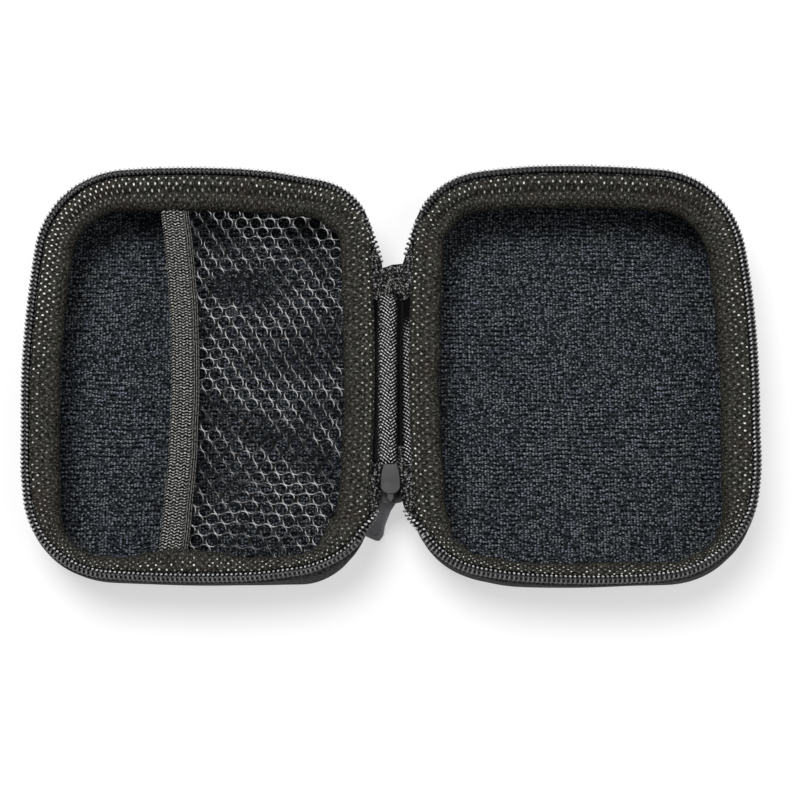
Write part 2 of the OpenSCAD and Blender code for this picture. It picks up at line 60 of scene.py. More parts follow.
# The rim's arcs against the clock from the middle of the hinge side: centre, radius, first and last angle
ARCS = [
    ((400.75, 0), HINGE_R, 180, 180 + HINGE_SPAN),
    ((-26.152, -36.973), CORNER_R, 180 + HINGE_SPAN, 264.411),
    ((0, 230.25), 290, 264.411, 274.671),
    ((21.496, -32.873), 26, 274.671, 353.893),
    ((-285.75, 0), 335, -6.107, 6.107),
    ((21.496, 32.873), 26, 6.107, 85.329),
    ((0, -230.25), 290, 85.329, 95.589),
    ((-26.152, 36.973), CORNER_R, 95.589, 180 - HINGE_SPAN),
    ((400.75, 0), HINGE_R, 180 - HINGE_SPAN, 180),
]
HINGE_ARC = HINGE_R * math.radians(HINGE_SPAN)
# The coil leaves the rim part of the way round the two corners at the hinge
SLIDER_ANGLE, TAB_ANGLE = 28, 20
S_SLIDER = HINGE_ARC + CORNER_R * math.radians(SLIDER_ANGLE - HINGE_SPAN)


def rim_table():
    """Lengths, places and outward normals round the rim, with the first one again at the end"""
    places, normals, lengths, start = [], [], [], 0.0
    for (cx, cy), r, a0, a1 in ARCS:
        n = max(8, int(r * math.radians(a1 - a0) / 0.1))
        a = np.radians(a0 + (a1 - a0) * np.arange(n) / n)
        e = np.stack([np.cos(a), np.sin(a)], 1)
        places.append(np.array([cx, cy]) + r * e)
        normals.append(e)
        lengths.append(start + r * (a - math.radians(a0)))
        start += r * math.radians(a1 - a0)
    p, n = np.concatenate(places), np.concatenate(normals)
    return np.append(np.concatenate(lengths), start), np.vstack([p, p[:1]]), np.vstack([n, n[:1]])


RIM_S, RIM_P, RIM_N = rim_table()
RIM_LEN = float(RIM_S[-1])
S_TAB = RIM_LEN - HINGE_ARC - CORNER_R * math.radians(TAB_ANGLE - HINGE_SPAN)


def rim_normal(s):
    s = np.mod(s, RIM_LEN)
    n = np.stack([np.interp(s, RIM_S, RIM_N[:, k]) for k in (0, 1)], -1)
    return n / np.linalg.norm(n, axis=-1, keepdims=True)


def rim_point(s, inset=0.0):
    """Plan points at rim length s, moved in by inset"""
    at = np.mod(s, RIM_LEN)
    p = np.stack([np.interp(at, RIM_S, RIM_P[:, k]) for k in (0, 1)], -1)
    return p - np.asarray(inset)[..., None] * rim_normal(s)


def curve_round(*stations):
    """A smooth curve through (rim length, value) stations that closes on itself, as a function of rim length."""
    at, value = np.array(stations, float).T
    step, reach = 0.5, 16
    fine = np.arange(0, RIM_LEN, step)
    table = np.interp(fine, at, value, period=RIM_LEN)
    bell = np.exp(-np.linspace(-2, 2, 2 * reach + 1) ** 2)
    table = np.convolve(np.concatenate([table[-reach:], table, table[:reach]]), bell / bell.sum(), "valid")
    return lambda s: np.interp(s, fine, table, period=RIM_LEN)


# The sewn rims stand a little out of the drawn outline, or in from it, as the photo shows
TRIM_OUT = {
    1: curve_round((0, 0), (47, 0), (58, -0.9), (66, -1), (76, -0.2), (97, 0), (115, 0), (124, -0.6), (134, -1.2),
                   (144, -0.9), (154, 0.4), (165, 1), (175, 0.3), (215, 0.4), (233, 0), (243, 0.4), (253, 0.9),
                   (264, 0.9), (280, 1), (299, 1.2), (310, 0.9), (323, 0.3), (333, 0.2), (340, 0), (350, 0)),
    -1: curve_round((0, 0), (38, 0), (46, 1.2), (52, 0.4), (57, -0.6), (62, -1.1), (70, -0.9), (80, -0.4),
                    (95, -0.5), (110, -0.5), (122, -0.5), (134, -0.2), (146, 0), (157, 0.3), (165, 0.6), (175, 0.2),
                    (192, 0.5), (228, 0.3), (238, 0.3), (246, 0.6), (256, 0.7), (265, 0.8), (287, 0.5), (299, 0.3),
                    (308, -0.1), (318, -1.3), (328, 0.3), (336, 1.1), (341, 1), (350, 0)),
}
# The moulded shells bulge past the rim at the corners towards the slider
BULGE = {
    1: curve_round((0, 0), (64, -0.4), (76, 0.8), (90, 0.4), (112, 0), (124, 0.9), (134, 1.9), (144, 2.2), (154, 1),
                   (168, 0)),
    -1: curve_round((0, 0), (48, 0), (56, 1.3), (64, 1.7), (72, 0.8), (84, 0), (110, -0.2), (122, 0.1), (134, 0.9),
                    (144, 1.2), (156, 0)),
}
# Insets of the binding's outer and inner edges
BINDING_OUTER = {
    1: curve_round((0, 3.25), (42, 3.25), (52, 2.6), (110, 2.2), (225, 2.2), (238, 2), (250, 2.1), (262, 2.8),
                   (330, 2.7), (345, 3.25)),
    -1: curve_round((0, 3.25), (42, 3.25), (52, 2.5), (260, 2.5), (280, 2.4), (312, 2.3), (322, 1.8), (336, 2.1),
                    (347, 3.25)),
}
BINDING_INNER = {
    1: curve_round((0, 10.6), (45, 10.3), (52, 7.9), (60, 6.6), (69, 6.1), (97, 6), (106, 6.7), (118, 5.6),
                   (128, 5), (138, 5.2), (147, 7.6), (157, 9.8), (170, 10.3), (230, 10.3), (250, 10.8), (262, 11),
                   (280, 11.3), (300, 11), (316, 10.8), (350, 10.6)),
    -1: curve_round((0, 10.6), (45, 10.4), (54, 9.4), (62, 7), (68, 6.4), (84, 7.3), (91, 9.4), (97, 9.8),
                    (107, 9.8), (113, 7.2), (121, 6.7), (130, 6.3), (140, 6.7), (149, 9.4), (158, 10.2),
                    (230, 10.3), (250, 10.6), (264, 11.3), (276, 11.7), (290, 12), (316, 12), (330, 11),
                    (345, 10.6)),
}


def seat(side, s, inset):
    """Where an inset from the sewn rim lies inside the drawn outline. Deeper pieces follow the rim less."""
    inset = np.broadcast_to(np.asarray(inset, float), np.shape(s))
    return inset - TRIM_OUT[side](s) * (1 - 0.75 * ease((inset - 3) / 8))


def rim_ring(s, inset, z):
    """Points at rim length s, moved in by inset and at height z"""
    return np.column_stack([rim_point(s, inset), np.broadcast_to(z, len(s))])


def to_world(side, p):
    """Side is 1 for the base half and -1 for the lid half"""
    q = np.array(p, float)
    q[..., 0] = side * (HALF_CENTRE + q[..., 0])
    return q


def ease(t):
    t = np.clip(t, 0, 1)
    return t * t * (3 - 2 * t)


def wobble(x, y, z=0.0):
    """Smooth noise between -1 and 1 at one place"""
    return noise.noise(Vector((float(x), float(y), float(z))))


def wobbles(x, y, z):
    """The same at many places"""
    x, y, z = np.broadcast_arrays(x, y, z)
    flat = [wobble(a, b, c) for a, b, c in zip(x.ravel(), y.ravel(), z.ravel())]
    return np.array(flat).reshape(x.shape)


def around(s, waves):
    """Rim length as a point on a circle, so that noise closes on itself. Waves is the number of noise cells."""
    r = waves / TAU
    return r * np.cos(TAU * s / RIM_LEN), r * np.sin(TAU * s / RIM_LEN)


def new_object(name, data):
    obj = bpy.data.objects.new(name, data)
    bpy.context.scene.collection.objects.link(obj)
    return obj


# Meshes
class Shape:
    """Collects points, faces and map coordinates in mm, and makes one mesh of them."""

    def __init__(self):
        self.points, self.faces, self.maps, self.count = [], [], [], 0

    def skin(self, rings, us, vs, loop_u=False, loop_v=False, flip=False, caps=False):
        """Rings is (n, m, 3). Us and vs are lengths along and across, one more than the points where they loop,
        or else us is (n, m, 2), the map of each point."""
        rings = np.asarray(rings, float)
        n, m = rings.shape[:2]
        i, j = np.meshgrid(np.arange(n if loop_u else n - 1), np.arange(m if loop_v else m - 1), indexing="ij")
        i, j = i.ravel(), j.ravel()
        i1, j1 = i + 1, j + 1
        corner = [(i, j), (i1, j), (i1, j1), (i, j1)]
        if flip:
            corner = corner[::-1]
        quad = np.stack([(a % n) * m + b % m for a, b in corner], 1) + self.count
        if np.ndim(us) == 3:
            uv = np.stack([us[a % n, b % us.shape[1]] for a, b in corner], 1)
        else:
            us, vs = np.asarray(us, float), np.asarray(vs, float)
            uv = np.stack([np.stack([us[a], vs[b]], -1) for a, b in corner], 1)
        self.points.append(rings.reshape(-1, 3))
        self.faces.extend(quad.tolist())
        self.maps.append(uv.reshape(-1, 2))
        if caps:
            way = -1 if flip else 1
            self.cap(self.count, np.zeros((m, 2)), way)
            self.cap(self.count + (n - 1) * m, np.zeros((m, 2)), -way)
        self.count += n * m

    def cap(self, first, maps, way):
        """One face over the ring of points that starts at first"""
        self.faces.append(list(range(first, first + len(maps)))[::way])
        self.maps.append(maps[::way])

    def cloth(self, top, thick, maps, flip):
        """The two faces of a cloth as one loop across it, with the map of each point of its upper face"""
        under = top.copy()
        under[..., 2] -= thick
        rings, both = (np.concatenate([a, b[:, ::-1]], 1) for a, b in ((top, under), (maps, maps)))
        self.skin(rings, both, None, loop_v=True, flip=flip, caps=True)

    def tube(self, line, radius, normal, sides, flip, along):
        """A thread round a line. Normal is a direction across the line at each point, and along is its map."""
        t = np.gradient(line, axis=0)
        t /= np.linalg.norm(t, axis=1, keepdims=True)
        a = normal - np.sum(normal * t, 1, keepdims=True) * t
        a /= np.linalg.norm(a, axis=1, keepdims=True)
        b = np.cross(t, a)
        phi = TAU * np.arange(sides) / sides
        rings = line[:, None] + radius[:, None, None] * (
            np.cos(phi)[None, :, None] * a[:, None] + np.sin(phi)[None, :, None] * b[:, None])
        self.skin(rings, np.repeat(along[:, None], sides, 1), None, loop_v=True, flip=flip, caps=True)

    def make(self, name, shade, rides=None, stands_for=(), merge=0.0, side=0):
        """One mesh of all that was collected. With a side, its points lie in that half's own plan."""
        points = np.concatenate(self.points)
        if side:
            points = to_world(side, points)
        mesh = bpy.data.meshes.new(name)
        mesh.from_pydata((points * MM).tolist(), [], self.faces)
        layer = mesh.uv_layers.new(name="flow")
        layer.data.foreach_set("uv", np.concatenate(self.maps).astype(np.float32).ravel())
        mesh.polygons.foreach_set("use_smooth", np.ones(len(mesh.polygons), bool))
        mesh.materials.append(shade)
        obj = new_object(name, mesh)
        if merge:
            work = bmesh.new()
            work.from_mesh(mesh)
            bmesh.ops.remove_doubles(work, verts=work.verts, dist=merge * MM)
            work.to_mesh(mesh)
            work.free()
        mesh.update()
        if rides:
            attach(obj, rides)
        if stands_for:
            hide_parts(*stands_for)
        return obj


def rounded_loop(points, times):
    """A closed line with its corners cut smooth."""
    p = np.array(points, float)
    for _ in range(times):
        q = np.roll(p, -1, 0)
        before, after = np.roll(p, 1, 0), np.roll(p, -2, 0)
        middle = (9 * (p + q) - (before + after)) / 16
        p = np.stack([p, middle], 1).reshape(-1, p.shape[1])
    return p


def lengths_of(points, closed=False):
    p = np.vstack([points, points[:1]]) if closed else np.asarray(points)
    return np.concatenate([[0], np.cumsum(np.linalg.norm(np.diff(p, axis=0), axis=1))])


# Materials
class Shade:
    """A node material. Numbers go straight into sockets, and sockets are linked."""

    def __init__(self, name):
        self.mat = bpy.data.materials.new(name)
        self.mat.use_nodes = True
        self.tree = self.mat.node_tree
        self.tree.nodes.clear()
        self.out = self.tree.nodes.new("ShaderNodeOutputMaterial")

    def add(self, kind, props=None, **inputs):
        node = self.tree.nodes.new("ShaderNode" + kind)
        for key, value in (props or {}).items():
            setattr(node, key, value)
        for key, value in inputs.items():
            self.put(node.inputs[key.replace("_", " ")], value)
        return node

    def put(self, socket, value):
        if isinstance(value, bpy.types.NodeSocket):
            self.tree.links.new(value, socket)
        elif isinstance(value, tuple) and len(value) == 3 and socket.type == "RGBA":
            socket.default_value = (*value, 1)
        else:
            socket.default_value = value

    def math(self, op, a, b=0.0, c=0.0, clamp=False):
        node = self.tree.nodes.new("ShaderNodeMath")
        node.operation = op
        node.use_clamp = clamp
        for socket, value in zip(node.inputs, (a, b, c)):
            self.put(socket, value)
        return node.outputs[0]

    def times(self, a, b):
        return self.math("MULTIPLY", a, b)

    def scaled(self, value, factor, more):
        return self.math("MULTIPLY_ADD", value, factor, more)

    def span(self, value, low, high, to_low=0.0, to_high=1.0, smooth=True):
        node = self.add("MapRange", {"interpolation_type": "SMOOTHSTEP" if smooth else "LINEAR"})
        for key, v in zip(("Value", "From Min", "From Max", "To Min", "To Max"), (value, low, high, to_low, to_high)):
            self.put(node.inputs[key], v)
        return node.outputs[0]

    def near(self, value, middle, far, close):
        """1 within close of the middle, and down to 0 at far"""
        return self.span(self.math("ABSOLUTE", self.math("SUBTRACT", value, middle)), far, close)

    def mix(self, share, a, b):
        node = self.tree.nodes.new("ShaderNodeMix")
        node.data_type = "RGBA"
        self.put(node.inputs[0], share)
        self.put(node.inputs[6], a)
        self.put(node.inputs[7], b)
        return node.outputs[2]

    def flow(self):
        """Along and across, in mm, from the mesh's own map"""
        return self.parts(self.add("UVMap", {"uv_map": "flow"}).outputs[0])[:2]

    def place(self):
        """The point's own place in mm"""
        node = self.add("TexCoord")
        scaled = self.add("VectorMath", {"operation": "SCALE"}, Vector=node.outputs["Object"], Scale=1000.0)
        return scaled.outputs[0]

    def vector(self, x, y):
        return self.add("CombineXYZ", X=x, Y=y).outputs[0]

    def parts(self, vector):
        return self.add("SeparateXYZ", Vector=vector).outputs

    def noise(self, vector, scale, detail=2.0, rough=0.5):
        return self.add("TexNoise", Vector=vector, Scale=scale, Detail=detail, Roughness=rough).outputs[0]

    def cells(self, vector, scale, random, dims="2D"):
        """Distance from a cell's middle, and a number that the cell drew"""
        node = self.add("TexVoronoi", {"voronoi_dimensions": dims}, Vector=vector, Scale=scale, Randomness=random)
        return node.outputs["Distance"], self.parts(node.outputs["Color"])[0]

    def wave(self, value, period):
        """From 0 to 1 and back once in a period"""
        return self.scaled(self.math("COSINE", self.times(value, TAU / period)), 0.5, 0.5)

    def bump(self, height, distance):
        return self.add("Bump", Height=height, Distance=distance * MM, Strength=1.0).outputs[0]

    def surface(self, colour, rough, height, depth, shine, **more):
        node = self.add("BsdfPrincipled", Base_Color=colour, Roughness=rough, Normal=self.bump(height, depth),
                        Specular_IOR_Level=shine, **more)
        self.tree.links.new(node.outputs[0], self.out.inputs[0])
        return self.mat

    def cloth(self, colour, rough, height, depth, shine=0.08):
        return self.surface(colour, rough, height, depth, shine, Sheen_Weight=0.02, Sheen_Roughness=0.5)


def knit_lining():
    sh = Shade("knit_lining")
    u, v = sh.flow()
    at = sh.vector(u, v)
    drift = sh.noise(at, 0.06, 2.0)
    wavy = sh.scaled(drift, 3.0, v)
    row = sh.wave(wavy, 1.32)
    loops = sh.vector(sh.math("DIVIDE", u, 0.86), sh.math("DIVIDE", wavy, 0.66))
    near, pick = sh.cells(loops, 1.0, 0.8)
    grain = sh.noise(sh.vector(u, sh.times(wavy, 1.25)), 1.5, 2.0, 0.6)
    patch = sh.span(sh.noise(at, 0.03, 2.0), 0.35, 0.6, 0.1, 1.0)
    rows_show = sh.times(sh.math("SUBTRACT", row, 0.5), patch)
    level = sh.scaled(rows_show, 0.2, grain)
    speck = sh.times(sh.span(near, 0.5, 0.08), sh.span(pick, 0.15, 1.0))
    speck = sh.times(speck, sh.scaled(rows_show, 0.9, 0.85))
    base = sh.mix(sh.span(level, 0.43, 0.65), (0.0012, 0.0015, 0.002), (0.038, 0.045, 0.053))
    hue = sh.span(sh.noise(at, 0.14, 2.0), 0.4, 0.65)
    colour = sh.mix(speck, base, sh.mix(hue, (0.28, 0.305, 0.31), (0.27, 0.3, 0.37)))
    height = sh.scaled(speck, 0.6, level)
    return sh.cloth(colour, 0.9, height, 0.2, 0.06)


def pressed_binding():
    sh = Shade("pressed_binding")
    u, v = sh.flow()
    along = sh.math("DIVIDE", u, DOT_PERIOD)
    across = sh.math("DIVIDE", v, 2.5)
    lattice = sh.vector(sh.math("ADD", along, across), sh.math("SUBTRACT", along, across))
    near, pick = sh.cells(lattice, 1.0, 0.22)
    # The pressed dots are real, and their light colour is a painted glint: each dot draws its own glint, brighter on
    # the binding's outer part and in broad patches
    dot = sh.span(near, 0.23, 0.09)
    outer = sh.span(v, 9.5, 4.5)
    dot_glint = sh.math("POWER", pick, 1.6)
    at = sh.place()
    streak = sh.noise(sh.vector(sh.times(u, 1.9), sh.times(v, 0.8)), 1.2, 3.0, 0.65)
    fibre = sh.noise(at, 1.7, 3.0, 0.7)
    blotch = sh.noise(at, 0.12, 2.0)
    tone = sh.scaled(streak, 0.5, sh.times(fibre, 0.6))
    dark = sh.mix(sh.span(tone, 0.46, 0.7), (0.002, 0.0019, 0.0014), (0.078, 0.076, 0.062))
    warm = sh.mix(sh.span(blotch, 0.5, 0.75, 0.0, 0.3), dark, (0.03, 0.017, 0.015))
    far = sh.span(sh.noise(at, 0.018, 1.0), 0.4, 0.6, 0.55, 1.25)
    # Painted highlights: the dots' glints are painted into the colour, strongest at the lid's far corner and along the
    # front
    corner = sh.add("VectorMath", {"operation": "DISTANCE"}, Vector=at)
    corner.inputs[1].default_value = (-88, 45, 22)
    front = sh.parts(at)[1]
    lit = sh.span(corner.outputs["Value"], 55.0, 15.0)
    dot_glint = sh.math("MAXIMUM", dot_glint, sh.times(lit, 0.5))
    far = sh.math("ADD", far, sh.times(lit, 0.9))
    far = sh.math("ADD", far, sh.span(front, -44.0, -54.0, 0.0, 0.8))
    strength = sh.scaled(sh.times(dot_glint, outer), far, 0.1)
    colour = sh.mix(sh.math("MULTIPLY", dot, strength, clamp=True), warm, (0.9, 0.9, 0.86))
    height = sh.scaled(dot, -0.6, sh.times(tone, 0.8))
    rough = sh.scaled(dot, -0.4, 0.8)
    return sh.surface(colour, rough, height, 0.22, 0.12)


def grain_fabric():
    sh = Shade("shell_fabric")
    u, v = sh.flow()
    warp = sh.wave(u, 0.62)
    weft = sh.wave(v, 0.62)
    check = sh.math("ABSOLUTE", sh.math("SUBTRACT", warp, weft))
    at = sh.place()
    grain = sh.noise(at, 1.7, 3.0, 0.75)
    wear = sh.noise(at, 0.07, 3.0)
    level = sh.scaled(check, 0.25, grain)
    base = sh.mix(sh.span(level, 0.45, 0.85), (0.004, 0.004, 0.004), (0.17, 0.17, 0.166))
    colour = sh.mix(sh.span(wear, 0.45, 0.7, 0.0, 0.25), base, (0.06, 0.058, 0.056))
    return sh.cloth(colour, 0.82, level, 0.16)


def coil_plastic():
    """Painted highlights on the two shoulders of each tooth, dark between the turns. The map says where along a turn a
    point lies, and how far the coil turns its outer side to the light, which sets how strong the painted highlight is."""
    sh = Shade("coil_plastic")
    u, faces = sh.flow()
    turn = sh.math("FRACT", u)
    fine = sh.noise(sh.place(), 1.0, 2.0)
    # Painted highlights: the teeth's shoulders are painted light, more where the coil faces the light and less where
    # it turns away
    inner = sh.near(turn, 0.12, 0.085, 0.035)
    outer = sh.near(turn, 0.325, 0.085, 0.03)
    top = sh.near(turn, 0.25, 0.2, 0.06)
    outer = sh.times(outer, sh.span(faces, -0.6, 0.5, 0.25, 1.0))
    inner = sh.times(inner, sh.span(faces, 0.95, -0.2, 0.2, 1.0))
    colour = sh.mix(top, (0.003, 0.003, 0.0033), (0.02, 0.02, 0.021))
    lit = sh.times(sh.math("MAXIMUM", outer, inner), sh.span(fine, 0.3, 0.6, 0.35, 1.0))
    colour = sh.mix(lit, colour, (0.85, 0.85, 0.86))
    rough = sh.span(fine, 0.3, 0.7, 0.3, 0.42)
    return sh.surface(colour, rough, fine, 0.02, 0.4)


def tape_knit():
    sh = Shade("tape_knit")
    u, v = sh.flow()
    fold = sh.math("PINGPONG", v, 1.5)
    rib = sh.wave(sh.scaled(fold, 0.8, u), 1.0)
    near, pick = sh.cells(sh.vector(sh.times(u, 1.5), sh.times(v, 1.5)), 1.0, 0.85)
    speck = sh.times(sh.span(near, 0.5, 0.12), sh.span(pick, 0.35, 0.95))
    grain = sh.noise(sh.place(), 1.1, 2.0, 0.6)
    level = sh.scaled(rib, 0.45, sh.times(speck, 0.6))
    level = sh.times(level, sh.span(grain, 0.3, 0.7, 0.45, 1.3))
    base = sh.mix(sh.span(level, 0.2, 0.8), (0.0022, 0.0022, 0.0022), (0.17, 0.17, 0.166))
    colour = sh.mix(sh.times(speck, 0.6), base, (0.55, 0.55, 0.54))
    return sh.cloth(colour, 0.75, level, 0.2)


def herringbone():
    sh = Shade("webbing_herringbone")
    u, v = sh.flow()
    at = sh.vector(u, v)
    column = sh.math("PINGPONG", sh.math("ADD", v, 2.7), 2.75)
    drift = sh.noise(at, 0.25, 2.0)
    slant = sh.math("ADD", sh.scaled(column, 0.85, u), sh.times(drift, 0.6))
    stripe = sh.span(sh.wave(slant, 1.0), 0.5, 0.9)
    run = sh.scaled(column, 1.3, sh.times(u, -0.45))
    gap = sh.span(sh.wave(run, 1.2), 0.15, 0.6)
    grain = sh.noise(at, 1.5, 2.0, 0.6)
    # Painted highlights and shade: the floats' light colour shows only along the folds' tops, and the valley between
    # them is painted dark
    left = sh.near(v, -0.8, 3.1, 1.3)
    right = sh.times(sh.near(v, 5.0, 1.9, 0.6), sh.span(u, 18.0, 9.0))
    shine = sh.scaled(sh.math("MAXIMUM", left, right), 0.98, 0.02)
    level = sh.times(stripe, sh.scaled(gap, 0.75, 0.25))
    level = sh.times(level, sh.span(grain, 0.28, 0.62, 0.15, 1.2))
    tone = sh.times(level, shine)
    colour = sh.mix(sh.span(tone, 0.08, 0.9, smooth=False), (0.0022, 0.0022, 0.0024), (0.95, 0.95, 0.96))
    return sh.surface(colour, 0.6, level, 0.2, 0.1)


def elastic_weave():
    sh = Shade("elastic_weave")
    u, v = sh.flow()
    at = sh.vector(u, v)
    zigzag = sh.math("PINGPONG", v, 0.95)
    drift = sh.noise(at, 0.45, 2.0)
    slant = sh.wave(sh.scaled(zigzag, 0.55, sh.scaled(drift, 1.1, u)), 0.845)
    cut = sh.span(sh.wave(v, 0.95), 0.05, 0.55)
    grain = sh.noise(at, 1.6, 2.0, 0.6)
    dash = sh.times(sh.span(slant, 0.45, 0.85), sh.scaled(cut, 0.75, 0.25))
    dash = sh.times(dash, sh.span(grain, 0.32, 0.62, 0.1, 1.25))
    rib = sh.span(sh.wave(v, 0.62), 0.3, 0.8)
    rib = sh.times(rib, sh.span(grain, 0.35, 0.65, 0.02, 0.42))
    # Plain ribs along the edge at the net, and a zigzag over the rest
    level = sh.mix(sh.span(v, 2.4, 2), dash, rib)
    level = sh.add("SeparateColor", Color=level).outputs[0]
    colour = sh.mix(sh.span(level, 0.0, 1.0, smooth=False), (0.0018, 0.0018, 0.0016), (0.58, 0.58, 0.55))
    return sh.cloth(colour, 0.75, level, 0.2)


def net_thread():
    """The map counts the points round a hole, and says how far each lies from the hole's edge."""
    sh = Shade("net_thread")
    at = sh.place()
    u, v = sh.flow()
    near, _ = sh.cells(at, 1.8, 0.9, "3D")
    grain = sh.noise(at, 0.7, 3.0, 0.7)
    # Painted highlight: the thread's colour is lit on one side of its hole, and that side wanders over the net
    wander = sh.noise(at, 0.035, 2.0)
    angle = sh.scaled(u, TAU / 12, sh.scaled(wander, 5.0, -6.2))
    lit = sh.scaled(sh.math("COSINE", angle), 0.3, 0.62)
    # Painted shade: two slack folds of the net are painted darker, one at the elastic, and one across the pocket
    x, y, _ = sh.parts(at)
    patch = sh.span(sh.noise(at, 0.055, 2.0), 0.36, 0.58, 0.5, 1.05)
    shade_oval = sh.vector(sh.math("DIVIDE", sh.math("ADD", x, 44.4), 9.5), sh.math("DIVIDE", sh.math("ADD", y, -25.7), 4.8))
    from_shade_oval = sh.add("VectorMath", {"operation": "LENGTH"}, Vector=shade_oval).outputs["Value"]
    from_shade_line = sh.math("ABSOLUTE", sh.scaled(x, 0.442, sh.scaled(y, 0.897, 31.3)))
    patch = sh.times(patch, sh.span(from_shade_oval, 0.6, 1.2, 0.25, 1.0))
    patch = sh.times(patch, sh.span(from_shade_line, 2.2, 6.5, 0.45, 1.0))
    level = sh.scaled(sh.span(near, 0.5, 0.1), 0.3, grain)
    level = sh.times(sh.times(level, patch), lit)
    thread = sh.mix(sh.span(level, 0.1, 0.62), (0.01, 0.01, 0.011), (0.74, 0.74, 0.75))
    # Only a thin ridge at each hole's edge has the thread's colour; the rest of the net is painted dark, as painted
    # shade like the shaded lining under it
    ridge = sh.near(v, 0.1, 0.125, 0.045)
    between = sh.mix(sh.span(grain, 0.45, 0.62), (0.0016, 0.0018, 0.0021), (0.028, 0.031, 0.035))
    colour = sh.mix(ridge, between, thread)
    return sh.surface(colour, 0.6, level, 0.08, 0.06)


def paint(name, low, high, rough, channel_shade=0.0):
    sh = Shade(name)
    at = sh.place()
    orange = sh.noise(at, 3.0, 3.0, 0.6)
    patch = sh.noise(at, 0.25, 2.0)
    colour = sh.mix(sh.span(patch, 0.35, 0.65), low, high)
    # Painted shade: the channel between the slider's plates is painted near black
    height = sh.parts(at)[2]
    inside = sh.times(sh.span(height, 14.7, 15.1), sh.span(height, 18.15, 17.9))
    colour = sh.mix(sh.times(inside, channel_shade), colour, (0.006, 0.006, 0.006))
    return sh.surface(colour, sh.span(orange, 0.3, 0.7, rough - 0.06, rough + 0.08), orange, 0.02, 0.25)


LINING = knit_lining()
BINDING = pressed_binding()
SHELL = grain_fabric()
COIL = coil_plastic()
TAPE = tape_knit()
WEBBING = herringbone()
ELASTIC = elastic_weave()
NET = net_thread()
SLIDER_PAINT = paint("slider_paint", (0.049, 0.049, 0.049), (0.07, 0.07, 0.07), 0.55, channel_shade=0.95)
PULL_PAINT = paint("pull_paint", (0.25, 0.245, 0.262), (0.29, 0.285, 0.302), 0.42)

# Shell and lining
SHELL_TOP = 18.0
SHELL_SET_IN = 0.3
LAMINATE = 3.5
OUTER_FABRIC = 0.5
BOTTOM_R = 9.0
DRAFT = 5
SLOPE = math.tan(math.radians(DRAFT))
TILT = math.cos(math.radians(DRAFT))


def wall_inset(depth, z):
    return SHELL_SET_IN + depth / TILT + (SHELL_TOP - z) * SLOPE


FILLET_INSET = wall_inset(0, BOTTOM_R) + BOTTOM_R / TILT


def wall_profile(depth, walls=7, bends=9):
    """Inset and height from the foot of the bottom's bend up to the top edge"""
    r = BOTTOM_R - depth
    bend = [(FILLET_INSET + r * math.cos(a), BOTTOM_R + r * math.sin(a))
            for a in np.radians(np.linspace(270, 180 + DRAFT, bends))]
    wall = [(wall_inset(depth, z), z) for z in np.linspace(bend[-1][1], SHELL_TOP, walls + 1)[1:]]
    return np.array(bend + wall)


def floor_rings(side, s, z, lump, count=16):
    """Rings from the middle of the bottom out to the bend's foot"""
    edge = rim_point(s, seat(side, s, FILLET_INSET))
    rings = []
    for t in np.linspace(0.04, 1, count):
        p = edge * t
        h = np.array([lump(*q) for q in p]) * (1 - t ** 6)
        rings.append(np.column_stack([p, z + h]))
    return rings


def tray_rings(side, s, depth, lump=lambda x, y: 0.0, belly=0.0):
    """Rings of a tray from its bottom's middle up to its top edge, and their maps"""
    profile = wall_profile(depth)
    run = lengths_of(profile)
    rings = floor_rings(side, s, depth, lump)
    maps = [r[:, :2].copy() for r in rings]
    out = rim_normal(s)
    foot = maps[-1]
    for (inset, z), length in zip(profile[1:], run[1:]):
        swell = belly * BULGE[side](s) * ease(z / BOTTOM_R) * (1 - 0.55 * ease((z - SHELL_TOP) / 5 + 1))
        # The foot keeps to the drawn outline, which leaves room for the pull
        settle = 0.25 + 0.75 * ease((z - 6) / 7)
        here = inset + settle * (seat(side, s, inset) - inset) - swell
        rings.append(rim_ring(s, here, z))
        maps.append(foot + out * length)
    return np.array(rings), np.array(maps)


def make_tray(side):
    s = np.linspace(0, RIM_LEN, 360, endpoint=False)
    soft = tray_rings(side, s, LAMINATE, lambda x, y: 0.3 * wobble(x * 0.05, y * 0.05, 3.0 + side)
                      + 0.08 * wobble(x * 0.2, y * 0.2, 9.0))
    shape = Shape()
    shape.skin(*soft, None, loop_v=True, flip=side < 0)
    shape.cap(0, soft[1][0], side)
    name = SIDES[side]
    shape.make(name + "_knit_lining", LINING, name, [name + "_lining"], side=side)

    # The shell's two faces, with the outer fabric turned in over the top edge
    outer, outer_map = tray_rings(side, s, 0.0, belly=1.0)
    inner, inner_map = tray_rings(side, s, LAMINATE - OUTER_FABRIC)
    lip, lip_map = [], []
    for t in (0.25, 0.5, 0.75):
        inset = SHELL_SET_IN + 3.1 * (0.5 - 0.5 * math.cos(math.pi * t))
        swell = 0.45 * BULGE[side](s) * (1 - t)
        z = SHELL_TOP + OUTER_FABRIC * math.sin(math.pi * t)
        lip.append(rim_ring(s, seat(side, s, inset) - swell, z))
        lip_map.append(outer_map[-1] + rim_normal(s) * inset)
    rings = np.concatenate([outer, lip, inner[::-1]])
    maps = np.concatenate([outer_map, lip_map, inner_map[::-1]])
    shape = Shape()
    shape.skin(rings, maps, None, loop_v=True, flip=side > 0)
    shape.cap(0, maps[0], -side)
    shape.cap((len(rings) - 1) * len(s), maps[-1], side)
    shape.make(name + "_moulded_shell", SHELL, name, [name + "_shell"], side=side)


